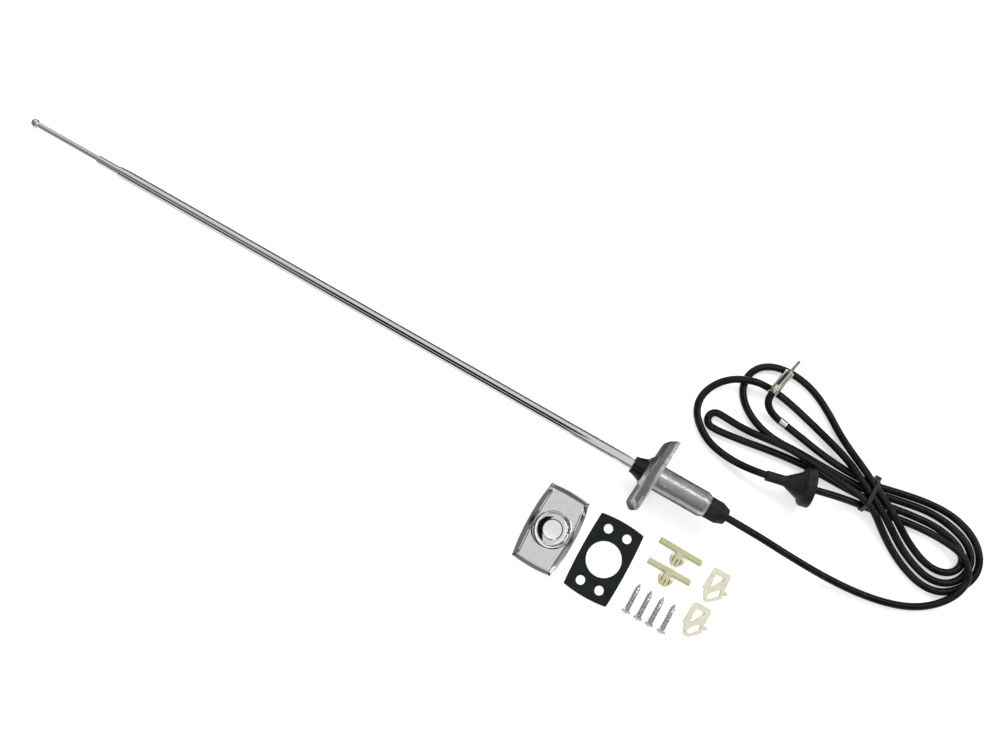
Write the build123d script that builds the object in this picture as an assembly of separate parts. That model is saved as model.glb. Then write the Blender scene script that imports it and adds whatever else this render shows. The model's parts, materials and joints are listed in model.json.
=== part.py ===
from build123d import *
import math
import os

# A car's telescopic mast aerial lying on a floor, with its cable coiled and tied and its fitting pieces taken
# off beside it. Sizes in millimetres. Plan positions are from the flange's rear face on the mast's axis, X
# from the mast's tip towards the cable, Y away from the fitting pieces, Z up from the floor.

# Fits: radial clearance of the sliding sections, and the gap that parts lying on the floor keep from it
SLIDE_GAP = 0.06
FLOOR_GAP = 0.1

# Mast, along its own axis: 0 at the flange's rear face, negative towards the tip
BALL_D = 9.0
BALL_AT = -671.2
ROD_D = 5.5
ROD_LENGTH = 478.0
MIDDLE_D = 7.8
MIDDLE_WALL = 0.5
MIDDLE_END = -602.1
MIDDLE_LENGTH = 480.0
OUTER_D = 10.4
OUTER_WALL = 0.55
OUTER_END = -578.9
OUTER_FOOT = 30.0
MOUTH_LENGTH = 6.0
ROD_SLEEVE_LENGTH = 10.0
MIDDLE_SLEEVE_LENGTH = 12.0

# Base casting: flange, boss and shank
FLANGE_WIDTH = 74.0
FLANGE_HEIGHT = 44.0
FLANGE_THICK = 3.2
FLANGE_CORNER = 5.0
FLANGE_STEP = 0.5
FLANGE_RAKE = 4.5
HOLE_PITCH_LONG = 58.0
HOLE_PITCH_SHORT = 20.0
HOLE_D = 5.4
SINK_D = 10.0
SINK_DEPTH = 1.5
BOSS_TOP = -12.5
BOSS_D_LOW = 42.0
BOSS_D_TOP = 26.8
SHANK_D = 25.0
SHANK_END = 54.4
SHANK_BORE = 18.0
NECK_BORE = 16.0
NECK_END = 8.0

# Insulators, foot and boot
COLLAR_D_LOW = 22.6
COLLAR_D_TOP = 16.8
COLLAR_LENGTH = 11.9
FOOT_END = 38.0
FOOT_STEM_D = 3.0
FOOT_STEM_END = 41.0
BUSH_START = 14.0
FERRULE_START = 43.0
FERRULE_END = 49.0
CORE_D = 1.5
BOOT_START = 49.5
BOOT_D = 21.2
BOOT_SHOULDER = 66.8
BOOT_END = 74.9
BOOT_END_D = 15.2

# Cable, grommet, band, tie and plug
CABLE_D = 7.2
CABLE_START = 44.0
LAY = CABLE_D / 2 + FLOOR_GAP
BEND_SHARE = 0.45
GROMMET_D = 37.0
GROMMET_DISC = 10.0
GROMMET_CONE_D = 28.0
GROMMET_CONE = 16.5
GROMMET_SLEEVE_D = 10.2
GROMMET_LENGTH = 44.5
BAND_D = 8.2
BAND_LENGTH = 8.0
TIE_X = 189.0
TIE_WIDTH = 4.0
TIE_THICK = 1.1
TIE_ROOM = 0.45
PLUG_D = 9.3
PLUG_LENGTH = 28.0
PLUG_BORE = 7.6
PLUG_BASE = 9.0
PLUG_SLOT = 3.0
PLUG_SLOT_TURN = -25.0
SOLDER_HOLE_D = 3.4
SOLDER_AT = 5.8
PIN_D = 3.1
PIN_ROOT_D = 3.6
PIN_REACH = 15.6

# Gasket and cover, plan centres and sizes
GASKET_AT = (-2.0, -89.2)
GASKET_WIDTH = 45.2
GASKET_LENGTH = 74.8
GASKET_BULGE_SIDE = 1.4
GASKET_BULGE_END = 2.0
GASKET_CORNER = 1.0
GASKET_THICK = 1.5
GASKET_HOLE_D = 34.2
GASKET_SMALL_D = 9.0
GASKET_PITCH_LONG = 54.4
COVER_AT = (-59.2, -89.4)
COVER_WIDTH = 41.2
COVER_LENGTH = 77.4
COVER_BULGE_SIDE = 3.7
COVER_BULGE_END = 1.4
COVER_CORNER = 2.6
COVER_TOP = 11.0
COVER_END_TOP = 4.6
COVER_WALL = 1.5
COVER_BAND = 4.6
COVER_STEP = 1.1
COVER_CONE_D_LOW = 38.6
COVER_CONE_D_TOP = 29.8
COVER_CONE_TOP = 15.4
COVER_HOLE_D = 17.8

# Screws, retainers and clips
SCREW_X = (38.1, 50.9, 62.8, 75.8)
SCREW_HEAD_Y = (-122.3, -122.4, -122.3, -122.4)
SCREW_TURN = (1.0, 0.6, 1.9, 1.0)
SCREW_LENGTH = 30.4
SCREW_D = 4.8
SCREW_HEAD_D = 10.0
SCREW_HEAD = 3.4
SCREW_TIP_D = 1.5
SCREW_TIP = 4.6
RETAINER_AT = ((58.0, -47.0, -0.6), (57.0, -68.5, 0.4))
BAR_LENGTH = 44.8
BAR_DEPTH = 6.0
BAR_THICK = 5.0
BAR_CHAMFER = 1.6
STUD_LENGTH = 11.7
STUD_NECK = 6.8
STUD_BARB = 14.4
STUD_SPLIT = 1.2
STUD_WING_GAP = 0.9
CLIP_AT = ((102.0, -60.0, 0.0), (100.4, -97.2, 0.0))
CLIP_THICK = 4.5

# Worked out from the sizes above: the mast leans on its tip ball and the lower front edge of the raked flange
half_long, half_short = HOLE_PITCH_LONG / 2, HOLE_PITCH_SHORT / 2
middle_half = half_long - SINK_D / 2
rake = math.radians(FLANGE_RAKE)
edge_reach = FLANGE_THICK * math.cos(rake) + middle_half * math.sin(rake)
lean_reach = math.hypot(FLANGE_HEIGHT / 2, -BALL_AT - edge_reach)
LIE = math.atan2(FLANGE_HEIGHT / 2, -BALL_AT - edge_reach) - math.asin(BALL_D / 2 / lean_reach)
AXIS_Z = FLANGE_HEIGHT / 2 * math.cos(LIE) + edge_reach * math.sin(LIE)
OUTER_BORE = OUTER_D - 2 * OUTER_WALL
MIDDLE_BORE = MIDDLE_D - 2 * MIDDLE_WALL
BALL_R = BALL_D / 2
CABLE_R = CABLE_D / 2

# Turned pieces are drawn about Z and laid down, Z along the mast from tip to cable, X downwards
lay_down = Pos(0, 0, AXIS_Z) * Rot(0, 90 - math.degrees(LIE), 0)


def turned(*outline):
    """A piece turned about Z from (radius, height) points."""
    return revolve(make_face(Plane.XZ * Polyline(*outline, close=True)), Axis.Z)


def on_axis(along):
    """A point on the laid mast's axis."""
    return (along * math.cos(LIE), 0.0, AXIS_Z + along * math.sin(LIE))


nodes = {}

# Tip section: ball, rod and the contact sleeve inside the middle tube
rod_end = BALL_AT + ROD_LENGTH
ball = Pos(0, 0, BALL_AT) * Sphere(BALL_R)
socket = Pos(0, 0, BALL_AT) * Cylinder(ROD_D / 2, BALL_D, align=(Align.CENTER, Align.CENTER, Align.MIN))
nodes["tip_ball"] = lay_down * (ball - socket)
nodes["tip_rod"] = lay_down * turned((0, BALL_AT), (ROD_D / 2, BALL_AT), (ROD_D / 2, rod_end), (0, rod_end))
rod_sleeve_r = MIDDLE_BORE / 2 - SLIDE_GAP
nodes["rod_contact_sleeve"] = lay_down * turned(
    (ROD_D / 2, rod_end - ROD_SLEEVE_LENGTH), (rod_sleeve_r, rod_end - ROD_SLEEVE_LENGTH + 0.4),
    (rod_sleeve_r, rod_end - 0.4), (ROD_D / 2, rod_end))

# Middle section: tube with a rolled mouth, and its contact sleeve inside the outer tube
middle_foot = MIDDLE_END + MIDDLE_LENGTH
middle_mouth = ROD_D / 2 + SLIDE_GAP
nodes["mast_middle_tube"] = lay_down * turned(
    (middle_mouth, MIDDLE_END), (MIDDLE_D / 2 - 0.4, MIDDLE_END), (MIDDLE_D / 2, MIDDLE_END + 0.4),
    (MIDDLE_D / 2, middle_foot), (MIDDLE_BORE / 2, middle_foot),
    (MIDDLE_BORE / 2, MIDDLE_END + MOUTH_LENGTH), (middle_mouth, MIDDLE_END + MOUTH_LENGTH - 1))
middle_sleeve_r = OUTER_BORE / 2 - SLIDE_GAP
nodes["middle_contact_sleeve"] = lay_down * turned(
    (MIDDLE_D / 2, middle_foot - MIDDLE_SLEEVE_LENGTH),
    (middle_sleeve_r, middle_foot - MIDDLE_SLEEVE_LENGTH + 0.4), (middle_sleeve_r, middle_foot - 0.4),
    (MIDDLE_D / 2, middle_foot))

# Outer tube, its mouth swaged down on to the middle tube
outer_mouth = MIDDLE_D / 2 + SLIDE_GAP
nodes["mast_outer_tube"] = lay_down * turned(
    (outer_mouth, OUTER_END), (outer_mouth + 0.35, OUTER_END), (OUTER_D / 2 - 0.45, OUTER_END + 0.5),
    (OUTER_D / 2 - 0.3, OUTER_END + 1.6), (OUTER_D / 2, OUTER_END + 9), (OUTER_D / 2, OUTER_FOOT),
    (OUTER_BORE / 2, OUTER_FOOT), (OUTER_BORE / 2, OUTER_END + MOUTH_LENGTH + 2),
    (outer_mouth, OUTER_END + MOUTH_LENGTH + 1))

# Base casting: a flange with countersunk holes, proud along its middle, raked on a conical boss and a shank
flange_ends = RectangleRounded(FLANGE_HEIGHT - 2 * FLANGE_STEP, FLANGE_WIDTH, FLANGE_CORNER)
flange_middle = Rectangle(FLANGE_HEIGHT, 2 * middle_half)
flange = extrude(flange_ends, -FLANGE_THICK) + extrude(flange_middle, -FLANGE_THICK)
boss = turned(
    (0, FLANGE_THICK), (BOSS_D_LOW / 2, FLANGE_THICK), (BOSS_D_LOW / 2, -FLANGE_THICK - 0.5),
    (BOSS_D_TOP / 2 + 4.4, BOSS_TOP + 4.2), (BOSS_D_TOP / 2, BOSS_TOP + 0.6),
    (BOSS_D_TOP / 2 - 0.6, BOSS_TOP), (0, BOSS_TOP))
rake_turn = Rot(FLANGE_RAKE, 0, 0)
in_front = extrude(Rectangle(2 * FLANGE_WIDTH, 2 * FLANGE_WIDTH), 2 * BOSS_TOP)
boss &= rake_turn * Pos(0, 0, -FLANGE_THICK / 2) * in_front
shank_bevel = SHANK_END - 4.0
shank = turned(
    (0, -FLANGE_THICK / 2), (SHANK_D / 2 + 2, -FLANGE_THICK / 2), (SHANK_D / 2 + 2, 0),
    (SHANK_D / 2 + 0.6, 0.5), (SHANK_D / 2, 2), (SHANK_D / 2, shank_bevel),
    (SHANK_D / 2 - 1.5, SHANK_END - 0.4), (SHANK_D / 2 - 1.8, SHANK_END), (0, SHANK_END))
hollow = turned(
    (0, BOSS_TOP), (NECK_BORE / 2, BOSS_TOP), (NECK_BORE / 2, NECK_END), (SHANK_BORE / 2, NECK_END),
    (SHANK_BORE / 2, SHANK_END), (0, SHANK_END))
screw_hole = turned((0, -FLANGE_THICK), (SINK_D / 2, -FLANGE_THICK), (HOLE_D / 2, SINK_DEPTH - FLANGE_THICK),
                    (HOLE_D / 2, 0), (0, 0))
for x in (-half_short, half_short):
    for y in (-half_long, half_long):
        flange -= Pos(x, y, 0) * screw_hole
nodes["base_casting"] = lay_down * (rake_turn * flange + boss + shank - hollow)

# Upper insulator: flared collar with a spigot in the casting's neck
collar_top = BOSS_TOP - COLLAR_LENGTH
nodes["upper_insulator"] = lay_down * turned(
    (OUTER_D / 2, collar_top), (COLLAR_D_TOP / 2 - 0.7, collar_top), (COLLAR_D_TOP / 2, collar_top + 0.6),
    (COLLAR_D_TOP / 2, collar_top + 1.7), (COLLAR_D_TOP / 2 + 0.3, collar_top + 3.4),
    (COLLAR_D_TOP / 2 + 1.0, collar_top + 5.6), (COLLAR_D_TOP / 2 + 1.9, collar_top + 7.6),
    (COLLAR_D_LOW / 2 - 0.9, collar_top + 9.6), (COLLAR_D_LOW / 2, collar_top + 10.7),
    (COLLAR_D_LOW / 2, BOSS_TOP - 0.4), (COLLAR_D_LOW / 2 - 0.4, BOSS_TOP), (NECK_BORE / 2, BOSS_TOP),
    (NECK_BORE / 2, NECK_END), (OUTER_D / 2, NECK_END))

# Inside the shank: bush, mast foot, cable core and earth ferrule
nodes["lower_insulator"] = lay_down * turned(
    (OUTER_D / 2, BUSH_START), (SHANK_BORE / 2, BUSH_START), (SHANK_BORE / 2, FOOT_END),
    (OUTER_D / 2, FOOT_END))
nodes["mast_foot"] = lay_down * turned(
    (0, OUTER_FOOT - 8), (OUTER_BORE / 2, OUTER_FOOT - 8), (OUTER_BORE / 2, OUTER_FOOT),
    (OUTER_D / 2, OUTER_FOOT), (OUTER_D / 2, FOOT_END), (FOOT_STEM_D / 2, FOOT_END),
    (FOOT_STEM_D / 2, FOOT_STEM_END), (0, FOOT_STEM_END))
nodes["cable_core"] = lay_down * turned(
    (0, FOOT_STEM_END), (CORE_D / 2, FOOT_STEM_END), (CORE_D / 2, CABLE_START), (0, CABLE_START))
nodes["earth_ferrule"] = lay_down * turned(
    (CABLE_R, FERRULE_START), (SHANK_BORE / 2, FERRULE_START), (SHANK_BORE / 2, FERRULE_END),
    (CABLE_R, FERRULE_END))

# Cable: control points of its route, by lap
route = [
    on_axis(CABLE_START), on_axis(100), (156, -1.5, 16.4), (200, 0, 6.6), (236, 4.2, LAY), (264, 11.5, LAY),
    (284, 21.5, LAY), (298, 34.5, 6.6), (306, 49, 11.2), (308.5, 64, 11.4), (303, 76.5, 11.4),
    (291, 84, 11.2), (275, 87, 6.6), (255, 87.3, LAY), (234, 85, LAY), (211, 80.8, 4), (TIE_X, 77.2, 5.6),
    (165, 72.4, 12), (138, 64.9, 18.9), (92, 54.5, 15.2), (67, 52, 8), (45, 53.6, 4.2), (27, 58.7, LAY),
    (10.5, 71.5, LAY), (4.2, 85.5, LAY), (6, 100, LAY), (14, 113.5, 6.6), (26, 123, 11.4),
    (43, 129.3, 11.4), (55, 131, 7.6), (67, 131.2, 5), (86, 128.5, LAY), (112, 122, LAY), (137, 114.6, 5.6),
    (157, 106.8, 10.8), (173, 98, 12.7), (TIE_X, 90, 13.2),
    (204, 82, 12.8), (222, 71.5, 9), (241, 60.5, LAY), (260, 52, LAY), (278, 48, LAY), (293.5, 51.5, LAY),
    (304, 61, LAY), (308, 73, LAY), (306, 86.4, LAY), (295, 97, LAY), (275, 103.4, LAY), (250, 105.2, LAY),
    (219, 99.6, 4.2), (TIE_X, 92.2, 5.6),
    (168, 91.8, 4.1), (149, 91.5, LAY), (130, 91.4, LAY), (111, 91.8, LAY), (93, 90.6, LAY),
    (77, 91.8, LAY), (62, 96, LAY), (49, 103, LAY), (39.5, 112, LAY), (34.5, 123, LAY), (35, 135, LAY),
    (41, 145.5, LAY), (52, 152.5, LAY), (66, 155.5, LAY), (82, 155, LAY), (100, 150.5, LAY),
    (120, 140, LAY), (138, 127.5, 4.4), (155, 117, 8), (172, 107.8, 12), (TIE_X, 98.2, 13.2),
    (205, 90.4, 12.6), (221, 81.5, 11.8), (236, 73.5, 6), (251, 66, LAY), (266, 60, LAY), (281, 58.5, LAY),
    (293.5, 63, LAY), (300.5, 73.5, LAY), (296.6, 84.4, LAY), (284, 92.2, LAY), (261, 95.8, LAY),
    (235, 93.4, LAY), (211, 89.2, 4.2), (TIE_X, 84.7, 5.6),
    (166, 84.1, 4.1), (146, 84, LAY), (126, 83.6, LAY), (106, 81.7, LAY), (84, 78.6, LAY), (64, 75.2, LAY),
    (49, 71.6, LAY), (38.5, 69.2, LAY), (29.5, 68.8, LAY), (22.8, 72.3, LAY), (20.4, 78.5, LAY),
    (22.9, 85, LAY), (29.6, 88, LAY), (38.5, 87, LAY), (49, 85.4, 4.1), (65, 85, 6.5), (83, 87, 10.8),
    (101, 88.8, 11.7), (124, 87.9, 11.4), (149, 86.6, 11.5), (171, 84.6, 12.4), (TIE_X, 81.4, 13.2),
    (201, 75.5, 12.4), (217, 64.5, 7.2), (235, 53.5, LAY), (254, 44.3, LAY), (274, 39, LAY),
    (292, 41.5, LAY), (304.5, 50.5, LAY), (313, 62, LAY), (316.8, 75, LAY), (314.2, 88.5, LAY),
    (304.5, 100.5, LAY), (289, 109, LAY), (268, 113.4, LAY), (243, 112, LAY), (216, 106.5, 4.2),
    (TIE_X, 99.7, 5.6),
    (168, 99.2, 4.1), (148, 99.8, LAY), (128, 102, LAY), (109, 105.2, LAY), (92, 107.8, LAY),
    (78, 109.5, 4.6), (67.5, 112.3, 8.6), (61, 117.6, 12.6), (60.1, 125.5, 14.7), (61.6, 131.7, 14.2),
]
route = [Vector(*point) for point in route]
bends = []
for before, here, after in zip(route, route[1:], route[2:]):
    turn = math.radians((here - before).get_angle(after - here))
    shorter = min((here - before).length, (after - here).length)
    bends.append(BEND_SHARE * shorter / math.tan(turn / 2))


def tube(first, last, diameter):
    """The cable's tube between two of its control points, at a given diameter."""
    path = FilletPolyline(*route[first:last + 1], radius=bends[first:last - 1])
    start = Plane(origin=path @ 0, z_dir=path % 0)
    return sweep(start * Circle(diameter / 2), path=path), path.length


last_point = len(route) - 1
cable, cable_length = tube(0, last_point, CABLE_D)
nodes["cable"] = cable
print("cable bend radii", [round(bend, 1) for bend in bends])
print("cable length", round(cable_length, 1), "volume", round(cable.volume), "section times length",
      round(math.pi * CABLE_R ** 2 * cable_length))

# Cable boot, its spigot in the shank
nodes["cable_boot"] = lay_down * turned(
    (CABLE_R, BOOT_START), (SHANK_BORE / 2, BOOT_START), (SHANK_BORE / 2, SHANK_END), (BOOT_D / 2, SHANK_END),
    (BOOT_D / 2, BOOT_SHOULDER - 1), (BOOT_D / 2 - 0.4, BOOT_SHOULDER),
    (BOOT_END_D / 2 + 0.3, BOOT_END - 1.2), (BOOT_END_D / 2 - 0.6, BOOT_END), (CABLE_R, BOOT_END))

# Grommet, slid on the cable's first lap, its disc standing on the floor
disc_side = max(range(2, len(route)), key=lambda index: route[index].Z)
sleeve_side = disc_side + 1
along = (route[sleeve_side] - route[disc_side]).normalized()
grommet_at = route[disc_side] + along * 3.0
body = turned(
    (0, 0), (GROMMET_D / 2 - 1.2, 0), (GROMMET_D / 2, 1.2), (GROMMET_D / 2, GROMMET_DISC - 3.5),
    (GROMMET_D / 2 - 0.5, GROMMET_DISC - 2), (GROMMET_D / 2 - 1.6, GROMMET_DISC - 0.6),
    (GROMMET_D / 2 - 3.2, GROMMET_DISC), (GROMMET_CONE_D / 2, GROMMET_DISC + 0.6),
    (GROMMET_SLEEVE_D / 2 + 0.6, GROMMET_DISC + GROMMET_CONE - 1),
    (GROMMET_SLEEVE_D / 2, GROMMET_DISC + GROMMET_CONE), (GROMMET_SLEEVE_D / 2, GROMMET_LENGTH - 0.6),
    (GROMMET_SLEEVE_D / 2 - 0.6, GROMMET_LENGTH), (0, GROMMET_LENGTH))
grommet_bore, _ = tube(disc_side - 2, sleeve_side + 2, CABLE_D)
nodes["body_grommet"] = Plane(origin=grommet_at, z_dir=along) * body - grommet_bore

# Crimp band on the last lap
band_point = last_point - 4
band_line = (route[band_point] - route[band_point - 1]).normalized()
band_middle = (route[band_point] + route[band_point - 1]) * 0.5
band_slice = Plane(origin=band_middle, z_dir=band_line) * Box(20, 20, BAND_LENGTH)
band_skin, _ = tube(band_point - 3, band_point + 2, BAND_D)
band_bore, _ = tube(band_point - 3, band_point + 2, CABLE_D)
nodes["cable_band"] = (band_skin & band_slice) - band_bore

# Plug: rolled sleeve with an open seam, a bead and a solder hole, insulator and pin; X of its frame is up
plug_line = (route[-1] - route[-2]).normalized()
plug_top = Vector(0, 0, 1) - plug_line * plug_line.Z
plug_frame = Plane(origin=route[-1] - plug_line * 6.0, x_dir=plug_top, z_dir=plug_line)
sleeve = turned(
    (CABLE_R, 0), (PLUG_D / 2 - 0.5, 0), (PLUG_D / 2, 0.5), (PLUG_D / 2, PLUG_LENGTH - 2.2),
    (PLUG_D / 2 + 0.25, PLUG_LENGTH - 1.7), (PLUG_D / 2 + 0.25, PLUG_LENGTH - 0.7),
    (PLUG_D / 2 - 0.1, PLUG_LENGTH), (PLUG_BORE / 2, PLUG_LENGTH), (PLUG_BORE / 2, PLUG_BASE),
    (CABLE_R, PLUG_BASE))
seam = Box(PLUG_D, PLUG_SLOT, PLUG_LENGTH - PLUG_BASE, align=(Align.MIN, Align.CENTER, Align.MIN))
sleeve -= Rot(0, 0, PLUG_SLOT_TURN) * Pos(0, 0, PLUG_BASE) * seam
solder_hole = Cylinder(SOLDER_HOLE_D / 2, PLUG_D, align=(Align.CENTER, Align.CENTER, Align.MIN))
sleeve -= Pos(0, 0, SOLDER_AT) * Rot(0, 90, 0) * solder_hole
plug_bore, _ = tube(last_point - 3, last_point, CABLE_D)
nodes["plug_sleeve"] = plug_frame * sleeve - plug_bore
insulator_end = PLUG_LENGTH - 3.0
nodes["plug_insulator"] = plug_frame * turned(
    (PIN_ROOT_D / 2, PLUG_BASE), (PLUG_BORE / 2, PLUG_BASE), (PLUG_BORE / 2, insulator_end),
    (PIN_ROOT_D / 2, insulator_end))
pin_end = PLUG_LENGTH + PIN_REACH
nodes["plug_pin"] = plug_frame * turned(
    (0, PLUG_BASE), (PIN_ROOT_D / 2, PLUG_BASE), (PIN_ROOT_D / 2, PLUG_LENGTH), (PIN_D / 2, PLUG_LENGTH),
    (PIN_D / 2, pin_end - 1.2), (PIN_D / 2 - 0.35, pin_end - 0.35), (PIN_D / 2 - 0.9, pin_end), (0, pin_end))

# Tie round the waist of the coil, with its head
tie_plane = Plane(origin=(TIE_X, 0, 0), x_dir=(0, 1, 0), z_dir=(1, 0, 0))
room = CABLE_R + TIE_ROOM
tied = []
for before, here, after in zip(route, route[1:], route[2:]):
    if here.X == TIE_X:
        for beside in (before, after):
            run = beside - here
            tied.append(here + run * (TIE_WIDTH / 2 / abs(run.X)))


def hull_round(radius):
    """The tie's outline round circles of a radius on every tied run."""
    return make_hull([edge for point in tied for edge in (Pos(point.Y, point.Z) * Circle(radius)).edges()])


inner_hull, outer_hull = hull_round(room), hull_round(room + TIE_THICK)
band = extrude(tie_plane * (outer_hull - inner_hull), amount=TIE_WIDTH / 2, both=True)
tie_edge = max(point.Y for point in tied) + room
head = Pos(TIE_X, tie_edge + 2.6, 9.4) * Box(5.6, 4.0, 5.0)
nodes["cable_tie"] = band + head - extrude(tie_plane * inner_hull, amount=TIE_WIDTH, both=True)


def bulged(width, length, side, end):
    """A rectangle whose sides and ends bow outwards by the given heights."""
    x, y = width / 2, length / 2
    return make_face([
        ThreePointArc((x, -y), (x + side, 0), (x, y)), ThreePointArc((x, y), (0, y + end), (-x, y)),
        ThreePointArc((-x, y), (-x - side, 0), (-x, -y)), ThreePointArc((-x, -y), (0, -y - end), (x, -y))])


# Gasket
gasket_outline = bulged(GASKET_WIDTH, GASKET_LENGTH, GASKET_BULGE_SIDE, GASKET_BULGE_END)
gasket_outline = fillet(gasket_outline.vertices(), GASKET_CORNER) - Circle(GASKET_HOLE_D / 2)
for x in (-half_short, half_short):
    for y in (-GASKET_PITCH_LONG / 2, GASKET_PITCH_LONG / 2):
        gasket_outline -= Pos(x, y) * Circle(GASKET_SMALL_D / 2)
nodes["gasket"] = Pos(*GASKET_AT, 0) * extrude(gasket_outline, GASKET_THICK)

# Cover: a bowed rim with a step up to the roof, which is arched along its length, and a cone for the mast
roof_half = COVER_LENGTH / 2
roof_rise = COVER_TOP - COVER_END_TOP
roof_r = (roof_half ** 2 + roof_rise ** 2) / (2 * roof_rise)


def roofed(inset, drop, round_by):
    """The cover's solid under its arched roof, drawn in by inset and lowered by drop."""
    outline = bulged(COVER_WIDTH - 2 * inset, COVER_LENGTH - 2 * inset, COVER_BULGE_SIDE, COVER_BULGE_END)
    outline = fillet(outline.vertices(), max(1.0, COVER_CORNER - inset / 4))
    arch = Pos(0, 0, COVER_TOP - drop - roof_r) * Rot(0, 90, 0) * Cylinder(roof_r, 3 * COVER_WIDTH)
    solid = extrude(outline, 2 * COVER_TOP) & arch
    if round_by:
        top = [edge for edge in solid.edges()
               if edge.bounding_box().min.Z > 0.5 and edge.bounding_box().size.Z < 9
               and max(abs(edge.center().X) / COVER_WIDTH, abs(edge.center().Y) / COVER_LENGTH) > 0.3]
        lowest = [edge for edge in top if abs((edge % 0.5).Z) < 0.75]
        solid = fillet(lowest, round_by)
    return solid


cone_slope = (COVER_CONE_D_LOW - COVER_CONE_D_TOP) / 2 / (COVER_CONE_TOP - COVER_TOP)
cone_in = COVER_WALL * 1.3
cone = turned(
    (0, 2), (COVER_CONE_D_LOW / 2 + cone_slope * (COVER_TOP - 6), 6), (COVER_CONE_D_TOP / 2, COVER_CONE_TOP),
    (COVER_HOLE_D / 2, COVER_CONE_TOP), (0, COVER_CONE_TOP))
shell = roofed(0, COVER_STEP, 2.2) + roofed(COVER_BAND, 0, 0.8)
cone &= roofed(COVER_WALL, -10, 0)
inside = roofed(COVER_WALL, COVER_STEP + COVER_WALL, 0)
inside += turned(
    (0, 2), (COVER_CONE_D_LOW / 2 - cone_in, 2), (COVER_CONE_D_LOW / 2 - cone_in, COVER_TOP - 1),
    (COVER_CONE_D_TOP / 2 - cone_in, COVER_CONE_TOP - COVER_WALL), (0, COVER_CONE_TOP - COVER_WALL))
hole = Cylinder(COVER_HOLE_D / 2, 60)
nodes["cover"] = Pos(*COVER_AT, 0) * (shell + cone - inside - hole)

# Four fixing screws, each lying on the rim of its head and the end of its shank
shank_end = SCREW_LENGTH - SCREW_TIP
screw = turned(
    (0, 0), (1.6, 0.1), (3.4, 0.5), (SCREW_HEAD_D / 2, 1.0), (SCREW_HEAD_D / 2, 1.4),
    (SCREW_D / 2, SCREW_HEAD + 0.6), (SCREW_D / 2, shank_end), (SCREW_TIP_D / 2, SCREW_LENGTH),
    (0, SCREW_LENGTH))
screw -= Box(6, 1.0, 2.8) + Box(1.0, 6, 2.8)
dip = math.asin((SCREW_HEAD_D - SCREW_D) / 2 / math.hypot(shank_end - 1.4, (SCREW_HEAD_D - SCREW_D) / 2))
screws = []
for x, y, turn in zip(SCREW_X, SCREW_HEAD_Y, SCREW_TURN):
    across = math.radians(turn)
    way = (math.sin(across) * math.cos(dip), math.cos(across) * math.cos(dip), -math.sin(dip))
    height = SCREW_HEAD_D / 2 * math.cos(dip) + 1.4 * math.sin(dip)
    laid = Plane(origin=(x, y, height), x_dir=(math.cos(across), -math.sin(across), 0), z_dir=way)
    screws.append(laid * screw)
nodes["fixing_screws"] = Compound(children=screws)

# Two push retainers: a bar with a split, barbed stud
half_bar, half_barb = BAR_LENGTH / 2, STUD_BARB / 2
stud_tip = -BAR_DEPTH / 2 - STUD_LENGTH
bar = make_face(Polyline(
    (-half_bar, -BAR_DEPTH / 2), (half_bar, -BAR_DEPTH / 2), (half_bar, BAR_DEPTH / 2 - 2.2),
    (half_bar - 2.0, BAR_DEPTH / 2), (-half_bar, BAR_DEPTH / 2), close=True))
bar = extrude(bar, BAR_THICK)
near_top = bar.edges().filter_by(Axis.X).sort_by(lambda edge: edge.center().Z - edge.center().Y)[-1]
bar = chamfer(near_top, BAR_CHAMFER)
neck = Pos(0, -BAR_DEPTH / 2 - 1.2) * Rectangle(STUD_NECK, 6.0)
barb_y = -BAR_DEPTH / 2 - 4.2
barbs = make_face([
    Line((-half_barb, barb_y + 1.0), (half_barb, barb_y + 1.0)),
    Line((half_barb, barb_y + 1.0), (half_barb, barb_y)),
    ThreePointArc((half_barb, barb_y), (half_barb * 0.78, barb_y - 4.4), (2.2, stud_tip)),
    Line((2.2, stud_tip), (-2.2, stud_tip)),
    ThreePointArc((-2.2, stud_tip), (-half_barb * 0.78, barb_y - 4.4), (-half_barb, barb_y)),
    Line((-half_barb, barb_y), (-half_barb, barb_y + 1.0))])
split = Pos(0, stud_tip + 3.4) * Rectangle(STUD_SPLIT, 6.8)
for side in (-1, 1):
    split += Pos(side * (STUD_NECK + STUD_WING_GAP) / 2, barb_y - 1.6) * Rectangle(STUD_WING_GAP, 5.4)
retainer = bar + extrude(neck + barbs - split, BAR_THICK)
retainers = [Pos(x, y, 0) * Rot(0, 0, turn) * retainer for x, y, turn in RETAINER_AT]
nodes["push_retainers"] = Compound(children=retainers)

# Two cable clips with a three-cornered and an oblong window
clip_corners = {
    (-8.8, 17.0): 3.2, (8.8, 17.0): 2.2, (8.8, 1.5): 1.0, (10.1, -6.6): 1.8, (-3.1, -18.3): 4.2,
    (-8.0, -8.4): 1.0, (-7.6, -6.2): 0.3, (-10.6, -5.9): 1.2}
clip_outline = make_face(Polyline(*clip_corners, close=True))
for corner, bend in clip_corners.items():
    nearest = min(clip_outline.vertices(), key=lambda vertex: (vertex.center() - Vector(*corner)).length)
    clip_outline = fillet(nearest, bend)
nub = Pos(10.2, -0.2) * Rectangle(4.0, 2.2) + Pos(11.6, -0.4) * Circle(1.8)
clip_window = fillet(make_face(Polyline((-5.6, 12.0), (5.0, 11.6), (-4.2, -3.4), close=True)).vertices(), 0.8)
clip_slot = make_face(Polyline(
    (-3.8, -9.2), (3.9, 0.4), (6.9, -1.2), (7.4, -5.0), (0.6, -12.0), (-2.4, -12.0), close=True))
clip_slot = fillet(clip_slot.vertices(), 1.0)
clip = extrude(clip_outline + nub - clip_window - clip_slot, CLIP_THICK)
clips = [Pos(x, y, 0) * Rot(0, 0, turn) * clip for x, y, turn in CLIP_AT]
nodes["cable_clips"] = Compound(children=clips)

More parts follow.
